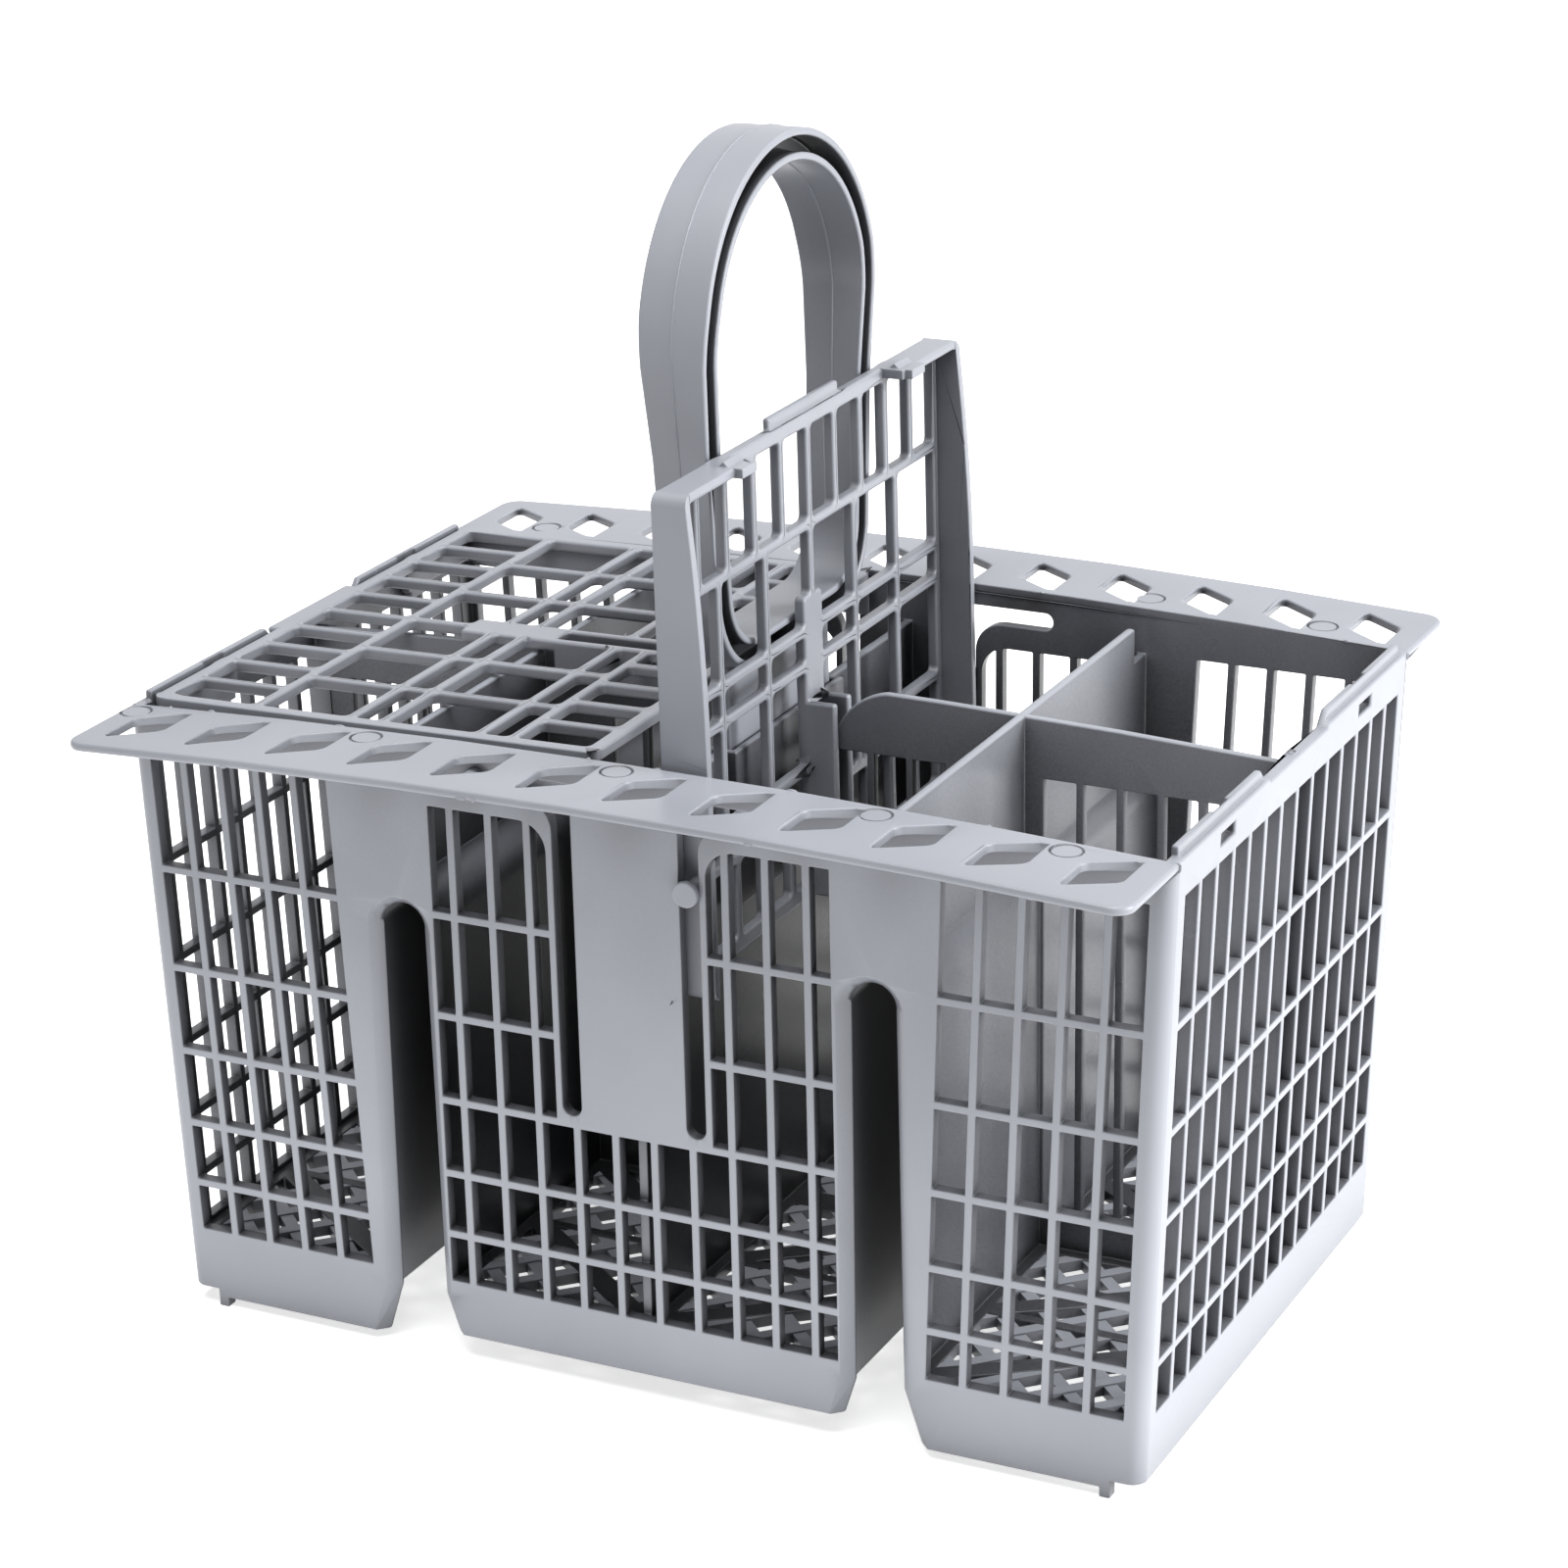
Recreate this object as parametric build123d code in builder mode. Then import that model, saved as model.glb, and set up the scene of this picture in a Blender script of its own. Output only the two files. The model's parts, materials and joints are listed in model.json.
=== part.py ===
import os

from build123d import *

# Cutlery basket for a dishwasher, in millimetres.
# X runs along the basket, Y from front to back, Z up. The origin is under its middle, at the feet.

# Box
rim_length = 212.8  # outside, end wall to end wall, at the rim
box_depth = 128.0  # outside, front wall to back wall, at the rim
rim_height = 125.0  # feet to the rim at the end walls
rim_crown = 2.8  # how much higher the arched rim is at its middle
arch_runs = 3  # straight runs in each half of the arch
end_lean = 5.2  # how far each end wall leans in from the rim to the feet
side_lean = 1.2  # how far each long wall leans in
wall = 2.6
corner_radius = 3.0
floor_level = 15.4  # top of the floor
floor_thick = 2.4
floor_rib = 2.4
floor_cells = 2  # pairs of slanted holes in each compartment

# Flanges along the two long walls
flange_width = 21.4
flange_thick = 1.7
flange_corner = 4.0
flange_hole_count = 12
flange_hole_pitch = 17.5
flange_hole_width = 9.2
flange_hole_height = 11.0
flange_hole_skew = 6.0
flange_hole_offset = 7.6  # from the wall to the middle of a hole

# Windows: the rows are the same on all four walls and get lower towards the floor
row_heights = (9.2, 11.3, 13.7, 15.9, 18.9, 20.9)
window_base = 16.6
bar = 1.6
window_pitch = 8.1
end_rows_rise = 3.0  # how much higher the top row is beside the tunnels and on the ends
leg_columns = 5
leg_border = 4.2  # plain strip between the corner and the first window
end_columns = 14
end_pitch = 8.3
lower_columns = 11
lower_border = 41.0  # half the window field of the middle, where it runs right across
upper_border = 16.4  # where the upper windows of the middle start
upper_corner = 5.6

# Bottom edge
foot_place = 94.1
foot_width = 2.2
leg_clearance = 2.0  # feet to the bottom edge of the outer legs
corner_clearance = 3.6  # feet to the bottom edge of the end walls
middle_clearance = 5.0  # feet to the bottom edge of the middle
foot_run = 300.0  # longer than the basket, for cuts that go right through

# Tunnels that part the legs
tunnel_place = 48.6
tunnel_half = 4.4
tunnel_half_foot = 4.9
tunnel_top = 93.2
tunnel_wall = 1.8
tunnel_blend = 2.2
mouth_flare = 4.0
mouth_height = 12.5

# Dividers
divider = 1.8
divider_drop = 2.6  # arched rim to the tops of the dividers
cross_place = 51.2  # middle of the dividers that stand on the tunnels
notch_drop = 7.5  # rim to the foot of the notches at their ends
notch_width = 4.4
long_divider_start = 12.0
long_divider_radius = 14.0
divider_window_drop = 12.6
divider_window_base = 24.0
centre_wall = 2.0
centre_wall_drop = 7.0

# Pin tracks in the front and back walls
pin_diameter = 3.0
pin_play = 0.3
track_place = 13.0
track_width = 4.0
track_foot = 58.6  # middle of the round foot of the track
branch_end = 30.2  # place of the pins at the outer end of the level branch
branch_drop = 3.7  # rim at the end walls to the middle of the level branch
track_bend = 6.0

# Lips and latches on the end walls
lip_height = 2.0
lip_thick = 1.5  # the lips stand on the inner half of the wall
lip_start = 18.0
lip_slope = 2.5
lip_margin = 5.0
finger_gap_depth = 0.8
latch_place = 37.0
latch_width = 7.0
latch_height = 2.2
latch_drop = 3.2  # rim to the middle of a latch window
latch_groove = 0.75

# Lids
lid_end_gap = 0.6
lid_dip = 1.6  # how far the closed lid falls from its pins to its free end
lid_side_gap = 1.4
lid_tail = 23.0  # pin to the hinge end
lid_top = 6.6  # pin to the top face
lid_plate = 2.3
lid_frame = 3.0
lid_skirt = 1.9
lid_skirt_depth = 9.4
lid_skirt_nose = 6.8  # depth of the skirt at the free end
lid_skirt_curve = 50.0
end_skirt_start = 33.0  # from the middle of the free end to its skirts
lid_corner = 2.5
lid_bar = 2.0
lid_slot_length = 18.0
lid_slot_count = 10
lid_cell_length = 18.6
lid_cell_count = 6
lid_gap_length = 5.0
lid_tab = 2.2
lid_tab_width = 30.0
lid_tab_thick = 1.5
catch_reach = 1.0
catch_width = 6.0
catch_height = 2.2
catch_pad = 1.6  # how far the pad behind a catch hangs below the skirt
guide_gap = 4.4
guide_rib = 1.8
guide_depth = 8.0
guide_clearance = 3.6  # divider on a tunnel to the end of the ribs
pin_head = 5.0
pin_head_thick = 1.3
pin_head_gap = 0.3
right_lid_drop = 15.5  # how far the right lid has slid down from the level branch
lean_clearance = 0.3  # from the right lid, which leans on the handle, to its strap

# Handle
handle_top = 231.5
handle_half = 37.0
handle_half_foot = 31.5
handle_saddle = 133.0
handle_corner = 17.0
strap_width = 14.0
strap_foot_width = 11.3
swell_start = 177.0  # heights between which the strap widens to the grip
swell_end = 204.0
strap_band = 1.5
strap_thick = 6.0
strap_web = 2.0
tongue_thick = 2.4
tongue_width = 44.0
tongue_depth = 44.0
socket_play = 0.4
handle_sway = 0.26  # how far the loose tongue leans to either side in its socket
socket_wall = 1.5
socket_floor = 2.0


def half_length(height):
    """Half the outside length of the box at a height above the feet."""
    return rim_length / 2 - end_lean * (1 - height / rim_height)


def half_depth(height):
    """Half the outside depth of the box at a height above the feet."""
    return box_depth / 2 - side_lean * (1 - height / rim_height)


def arch(level):
    """Points along the arch of the rim, from the left end wall to the right, above a level at the ends."""
    steps = [n / arch_runs for n in range(-arch_runs, arch_runs + 1)]
    return [(rim_length / 2 * step, level + rim_crown * (1 - step**2)) for step in steps]


def tapered_block(bottom, top, inset):
    """Block between two heights whose four sides lean with the walls, set in from their outside."""
    with BuildPart() as block:
        with BuildSketch(Plane.XZ):
            Polygon(
                (inset - half_length(bottom), bottom),
                (half_length(bottom) - inset, bottom),
                (half_length(top) - inset, top),
                (inset - half_length(top), top),
                align=None,
            )
        extrude(amount=box_depth, both=True)
        with BuildSketch(Plane.YZ):
            Polygon(
                (inset - half_depth(bottom), bottom),
                (half_depth(bottom) - inset, bottom),
                (half_depth(top) - inset, top),
                (inset - half_depth(top), top),
                align=None,
            )
        extrude(amount=rim_length, both=True, mode=Mode.INTERSECT)
    return block.part


box_top = rim_height + lip_height
rim_top = rim_height + rim_crown
branch_height = rim_height - branch_drop
floor_under = floor_level - floor_thick
bar_heights = [window_base + sum(row_heights[:n]) + bar * (n - 0.5) for n in range(1, len(row_heights))]
middle_top = window_base + sum(row_heights) + bar * (len(row_heights) - 1)
end_top = middle_top + end_rows_rise
lower_top = bar_heights[2] - bar / 2
upper_base = bar_heights[2] + bar / 2
tunnel_spring = tunnel_top - tunnel_half
divider_top = rim_top - divider_drop
notch_foot = rim_height - notch_drop
centre_top = rim_height - centre_wall_drop
lid_half = box_depth / 2 - wall - lid_side_gap
lid_reach = rim_length / 2 - wall - lid_end_gap - branch_end
lid_pattern = lid_slot_length + 2 * lid_cell_length + 2 * lid_gap_length + 5 * lid_bar
lid_last_slot = lid_reach + lid_tail - 2 * lid_frame - lid_pattern
tongue_foot = handle_saddle - tongue_depth
socket_depth = centre_top - tongue_foot
handle_slope = 2 * handle_sway / socket_depth
handle_pivot = tongue_foot + socket_depth / 2

# Outside of the box as a solid block, with the tunnels cut through it and their edges rounded
with BuildPart() as envelope:
    add(tapered_block(0, max(box_top, rim_top), 0))
    corners = envelope.edges().filter_by(lambda edge: edge.bounding_box().size.Z > rim_height / 2)
    fillet(corners, corner_radius)
    with BuildSketch(Plane.XZ):
        with BuildLine():
            Polyline(
                (tunnel_place - tunnel_half_foot - mouth_flare, 0),
                (tunnel_place - tunnel_half_foot, mouth_height),
                (tunnel_place - tunnel_half, tunnel_spring),
            )
            ThreePointArc(
                (tunnel_place - tunnel_half, tunnel_spring),
                (tunnel_place, tunnel_top),
                (tunnel_place + tunnel_half, tunnel_spring),
            )
            Polyline(
                (tunnel_place + tunnel_half, tunnel_spring),
                (tunnel_place + tunnel_half_foot, mouth_height),
                (tunnel_place + tunnel_half_foot + mouth_flare, 0),
                (tunnel_place - tunnel_half_foot - mouth_flare, 0),
            )
        make_face()
        mirror(about=Plane.YZ)
    extrude(amount=box_depth, both=True, mode=Mode.SUBTRACT)
    tunnel_reach = tunnel_half_foot + mouth_flare
    mouth_edges = envelope.edges().filter_by(
        lambda edge: abs(edge.center().Y) > box_depth / 2 - wall
        and abs(abs(edge.center().X) - tunnel_place) < tunnel_reach
        and edge.center().Z > 0
    )
    chamfer(mouth_edges, tunnel_blend)

# Everything above the arched rim, except two strips for the lips of the end walls
with BuildPart() as above_rim:
    with BuildSketch(Plane.XZ):
        with BuildLine():
            Polyline(*arch(rim_height))
            Polyline(
                (rim_length / 2, rim_height),
                (foot_run / 2, rim_height),
                (foot_run / 2, 2 * rim_height),
                (-foot_run / 2, 2 * rim_height),
                (-foot_run / 2, rim_height),
                (-rim_length / 2, rim_height),
            )
        make_face()
    extrude(amount=box_depth, both=True)
    with BuildSketch(Plane.XY.offset(rim_height)):
        with GridLocations(rim_length - 2 * wall + lip_thick, 0, 2, 1):
            Rectangle(lip_thick, box_depth - 2 * lip_margin)
    extrude(amount=lip_height, mode=Mode.SUBTRACT)

# Tunnel blocks and dividers, trimmed to the leaning walls and the arched rim
with BuildPart() as partitions:
    with BuildSketch(Plane.XZ):
        with Locations((-tunnel_place, floor_under), (tunnel_place, floor_under)):
            Rectangle(
                2 * (tunnel_half_foot + tunnel_wall),
                tunnel_spring - floor_under,
                align=(Align.CENTER, Align.MIN),
            )
        with Locations((-tunnel_place, tunnel_spring), (tunnel_place, tunnel_spring)):
            Circle(tunnel_half_foot + tunnel_wall)
    extrude(amount=box_depth, both=True)
    # Dividers that stand on the tunnels, notched at their ends for the skirts of the lids
    notch_start = lid_half - notch_width
    with BuildSketch(Plane.YZ.offset(-cross_place), Plane.YZ.offset(cross_place)):
        with Locations((0, tunnel_spring)):
            Rectangle(2 * notch_start, divider_top - tunnel_spring, align=(Align.CENTER, Align.MIN))
            Rectangle(2 * box_depth, notch_foot - tunnel_spring, align=(Align.CENTER, Align.MIN))
    extrude(amount=divider / 2, both=True)
    # Divider along the middle, with tall windows and a large rounded corner next to the lids
    with BuildSketch(Plane.XZ):
        with BuildLine():
            FilletPolyline(
                (long_divider_start, floor_level),
                (long_divider_start, divider_top),
                (rim_length, divider_top),
                radius=long_divider_radius,
            )
            Polyline((rim_length, divider_top), (rim_length, floor_level), (long_divider_start, floor_level))
        make_face()
        divider_window_height = rim_height - divider_window_drop - divider_window_base
        tunnel_outside = tunnel_half_foot + tunnel_wall
        inner_windows = [window_pitch * n for n in range(2, 5)]
        outer_start = tunnel_place + tunnel_outside + window_pitch / 2
        outer_windows = [outer_start + window_pitch * n for n in range(leg_columns)]
        for place in inner_windows + outer_windows:
            with Locations((place, divider_window_base)):
                Rectangle(
                    window_pitch - bar,
                    divider_window_height,
                    align=(Align.CENTER, Align.MIN),
                    mode=Mode.SUBTRACT,
                )
        mirror(about=Plane.YZ)
    extrude(amount=divider / 2, both=True)
    # Wall across the middle, between the two lids, with the socket of the handle
    with BuildSketch(Plane.YZ):
        with Locations((0, floor_level)):
            Rectangle(2 * box_depth, centre_top - floor_level, align=(Align.CENTER, Align.MIN))
    extrude(amount=centre_wall / 2, both=True)
    add(envelope.part, mode=Mode.INTERSECT)
    with Locations((0, 0, -divider_drop)):
        add(above_rim.part, mode=Mode.SUBTRACT)

# Flanges with slanted holes, mirrored front to back, their undersides arched with the rim
with BuildPart() as flanges:
    flange_under = rim_height - flange_thick
    with BuildSketch(Plane.XY.offset(flange_under)):
        with Locations((0, -box_depth / 2 + wall)):
            flange_plate = Rectangle(rim_length, flange_width + wall, align=(Align.CENTER, Align.MAX))
        fillet(flange_plate.vertices().group_by(Axis.Y)[0], flange_corner)
        hole_middle = -box_depth / 2 - flange_hole_offset
        with Locations((0, hole_middle)):
            with GridLocations(flange_hole_pitch, 0, flange_hole_count, 1):
                Polygon(
                    (-flange_hole_width / 2, -(flange_hole_height + flange_hole_skew) / 2),
                    (flange_hole_width / 2, -(flange_hole_height - flange_hole_skew) / 2),
                    (flange_hole_width / 2, (flange_hole_height + flange_hole_skew) / 2),
                    (-flange_hole_width / 2, (flange_hole_height - flange_hole_skew) / 2),
                    mode=Mode.SUBTRACT,
                )
        mirror(about=Plane.XZ)
    extrude(amount=rim_top - flange_under)
    with BuildSketch(Plane.XZ):
        with BuildLine():
            Polyline(*arch(flange_under))
            Polyline(
                (rim_length / 2, flange_under),
                (rim_length / 2, rim_top),
                (-rim_length / 2, rim_top),
                (-rim_length / 2, flange_under),
            )
        make_face()
    extrude(amount=box_depth, both=True, mode=Mode.INTERSECT)

with BuildPart() as basket_body:
    add(envelope.part)
    add(tapered_block(floor_level, box_top + lip_height, wall), mode=Mode.SUBTRACT)
    add(tapered_block(-middle_clearance, floor_under, wall), mode=Mode.SUBTRACT)
    # Pin tracks
    with BuildSketch(Plane.XZ):
        with BuildLine():
            track_inner = track_place - track_width / 2
            track_outer = track_place + track_width / 2
            branch_half = pin_diameter / 2 + pin_play
            FilletPolyline(
                (track_outer, track_foot),
                (track_outer, branch_height - branch_half),
                (branch_end + branch_half, branch_height - branch_half),
                radius=track_bend,
            )
            Polyline(
                (branch_end + branch_half, branch_height - branch_half),
                (branch_end + branch_half, branch_height + branch_half),
                (track_inner, branch_height + branch_half),
                (track_inner, track_foot),
            )
            ThreePointArc(
                (track_inner, track_foot),
                (track_place, track_foot - track_width / 2),
                (track_outer, track_foot),
            )
        make_face()
        mirror(about=Plane.YZ)
    extrude(amount=box_depth, both=True, mode=Mode.SUBTRACT)
    # Rim: the flanges and walls end at its arch, and only two lips on each end wall stand above it
    add(flanges.part)
    add(above_rim.part, mode=Mode.SUBTRACT)
    with BuildSketch(Plane.YZ):
        gap_floor = rim_height - finger_gap_depth
        with BuildLine():
            Polyline(
                (-lip_start, box_top + lip_height),
                (-lip_start, box_top),
                (lip_slope - lip_start, gap_floor),
                (lip_start - lip_slope, gap_floor),
                (lip_start, box_top),
                (lip_start, box_top + lip_height),
                close=True,
            )
        make_face()
        with Locations((-latch_place, rim_height - latch_drop), (latch_place, rim_height - latch_drop)):
            Rectangle(latch_width, latch_height)
    extrude(amount=rim_length, both=True, mode=Mode.SUBTRACT)
    # Grooves that lead the catches down to the latch windows
    with BuildSketch(Plane.XY.offset(rim_height - latch_drop)):
        with GridLocations(2 * (half_length(rim_height) - wall), 2 * latch_place, 2, 2):
            Rectangle(2 * latch_groove, latch_width)
    extrude(amount=latch_drop + 2 * lip_height, mode=Mode.SUBTRACT)
    add(partitions.part)
    # Socket of the handle
    socket_half = tongue_thick / 2 + socket_play + socket_wall
    socket_base = tongue_foot - socket_play - socket_floor
    with BuildSketch(Plane.XY.offset(socket_base)):
        Rectangle(2 * socket_half, tongue_width + 2 * (socket_play + socket_wall))
    extrude(amount=centre_top - socket_base)
    with BuildSketch(Plane.XY.offset(tongue_foot - socket_play)):
        Rectangle(tongue_thick + 2 * socket_play, tongue_width + 2 * socket_play)
    extrude(amount=centre_top, mode=Mode.SUBTRACT)
    # Bottom edge: raised between the legs and at the ends, with a small foot on each outer leg
    with BuildSketch(Plane.XZ):
        Rectangle(2 * tunnel_place, middle_clearance, align=(Align.CENTER, Align.MIN))
        foot_inner = foot_place - foot_width / 2
        foot_outer = foot_place + foot_width / 2
        with Locations((tunnel_place, 0)):
            Rectangle(foot_inner - tunnel_place, leg_clearance, align=Align.MIN)
        with Locations((foot_outer, 0)):
            Rectangle(rim_length, corner_clearance, align=Align.MIN)
        mirror(about=Plane.YZ)
    extrude(amount=box_depth, both=True, mode=Mode.SUBTRACT)
    # Slanted holes in the floor, in pairs, with ribs under the walls and dividers
    with BuildSketch(Plane.XY.offset(floor_under)):
        hole_rows = (half_depth(floor_level) - wall - divider / 2 - floor_rib) / floor_cells
        middle_reach = tunnel_place - tunnel_half_foot - tunnel_wall
        leg_start = tunnel_place + tunnel_half_foot + tunnel_wall
        leg_reach = half_length(floor_level) - wall - leg_start
        for start, reach in ((centre_wall / 2, middle_reach - centre_wall / 2), (leg_start, leg_reach)):
            for n in range(floor_cells):
                near = divider / 2 + floor_rib + n * hole_rows
                far = near + hole_rows - floor_rib
                left = start + floor_rib
                right = start + reach - floor_rib
                Polygon((left, near), (right - 2 * floor_rib, near), (left, far - floor_rib), align=None)
                Polygon((right, far), (left + 2 * floor_rib, far), (right, near + floor_rib), align=None)
        mirror(about=Plane.YZ)
        mirror(about=Plane.XZ)
    extrude(amount=floor_thick, mode=Mode.SUBTRACT)
    # Windows of the long walls
    window_start = box_depth / 2 - wall - side_lean
    window_depth = wall + 2 * side_lean
    with BuildSketch(Plane.XZ.offset(window_start), Plane.XZ.offset(-window_start - window_depth)):
        leg_inner = leg_border + leg_columns * window_pitch - bar
        with BuildLine():
            Polyline(
                (half_length(window_base) - leg_inner, window_base),
                (half_length(window_base) - leg_border, window_base),
                (half_length(end_top) - leg_border, end_top),
                (half_length(end_top) - leg_inner, end_top),
                close=True,
            )
        make_face()
        for n in range(1, leg_columns):
            bar_start = leg_border + n * window_pitch - bar
            with BuildLine():
                Polyline(
                    (half_length(0) - bar_start - bar, 0),
                    (half_length(0) - bar_start, 0),
                    (half_length(rim_height) - bar_start, rim_height),
                    (half_length(rim_height) - bar_start - bar, rim_height),
                    close=True,
                )
            make_face(mode=Mode.SUBTRACT)
        with BuildLine():
            FilletPolyline(
                (upper_border, upper_base),
                (upper_border, middle_top),
                (lower_border, middle_top),
                radius=upper_corner,
            )
            Polyline((lower_border, middle_top), (lower_border, upper_base), (upper_border, upper_base))
        make_face()
        mirror(about=Plane.YZ)
        with Locations((0, window_base)):
            Rectangle(2 * lower_border, lower_top - window_base, align=(Align.CENTER, Align.MIN))
        with Locations((0, rim_height / 2)):
            with GridLocations(window_pitch, 0, lower_columns - 1, 1):
                Rectangle(bar, rim_height, mode=Mode.SUBTRACT)
        for height in bar_heights:
            with Locations((0, height)):
                Rectangle(foot_run, bar, mode=Mode.SUBTRACT)
    extrude(amount=window_depth, mode=Mode.SUBTRACT)
    # Windows of the end walls, cut square to their lean
    end_foot = half_length(0) - 2 * wall
    left_end = Plane((-end_foot, 0, 0), x_dir=(0, -1, 0), z_dir=(-rim_height, 0, -end_lean))
    right_end = Plane((end_foot, 0, 0), x_dir=(0, 1, 0), z_dir=(rim_height, 0, -end_lean))
    with BuildSketch(left_end, right_end):
        with Locations((0, window_base)):
            Rectangle(
                end_columns * end_pitch - bar,
                end_top - window_base,
                align=(Align.CENTER, Align.MIN),
            )
        with Locations((0, rim_height / 2)):
            with GridLocations(end_pitch, 0, end_columns - 1, 1):
                Rectangle(bar, rim_height, mode=Mode.SUBTRACT)
        for height in bar_heights:
            with Locations((0, height)):
                Rectangle(foot_run, bar, mode=Mode.SUBTRACT)
    extrude(amount=3 * wall, mode=Mode.SUBTRACT)

basket_body.part.label = "basket_body"

# Handle: an I-section strap bent into a loop, wider at the grip, with a tongue below its saddle.
# It stands loose in its socket and leans a little to the left.
handle_plane = Plane((handle_slope * handle_pivot, 0, 0), x_dir=(0, 1, 0), z_dir=(1, 0, handle_slope))
strap_plane = Plane(handle_plane.origin, x_dir=handle_plane.z_dir, z_dir=-handle_plane.x_dir)

with BuildSketch(Plane.YZ) as loop:
    loop_spring = handle_top - handle_half
    with BuildLine():
        FilletPolyline(
            (-handle_half, loop_spring),
            (-handle_half_foot, handle_saddle),
            (handle_half_foot, handle_saddle),
            (handle_half, loop_spring),
            radius=handle_corner,
        )
        ThreePointArc((handle_half, loop_spring), (0, handle_top), (-handle_half, loop_spring))
    make_face()

with BuildPart() as carry_handle:
    with BuildSketch(handle_plane):
        add(loop.sketch_local)
        offset(loop.sketch_local, amount=-strap_band, mode=Mode.SUBTRACT)
        offset(loop.sketch_local, amount=strap_band - strap_thick, mode=Mode.ADD)
        offset(loop.sketch_local, amount=-strap_thick, mode=Mode.SUBTRACT)
    extrude(amount=strap_width / 2, both=True)
    with BuildSketch(strap_plane):
        Polygon(
            (-strap_foot_width / 2, 0),
            (strap_foot_width / 2, 0),
            (strap_foot_width / 2, swell_start),
            (strap_width / 2, swell_end),
            (strap_width / 2, 2 * handle_top),
            (-strap_width / 2, 2 * handle_top),
            (-strap_width / 2, swell_end),
            (-strap_foot_width / 2, swell_start),
            align=None,
        )
    extrude(amount=2 * handle_half, both=True, mode=Mode.INTERSECT)
    with BuildSketch(handle_plane):
        add(loop.sketch_local)
        offset(loop.sketch_local, amount=-strap_thick, mode=Mode.SUBTRACT)
    extrude(amount=strap_web / 2, both=True)
    with BuildSketch(handle_plane):
        with Locations((0, tongue_foot)):
            Rectangle(tongue_width, tongue_depth + strap_band, align=(Align.CENTER, Align.MIN))
    extrude(amount=tongue_thick / 2, both=True)

carry_handle.part.label = "carry_handle"


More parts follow.
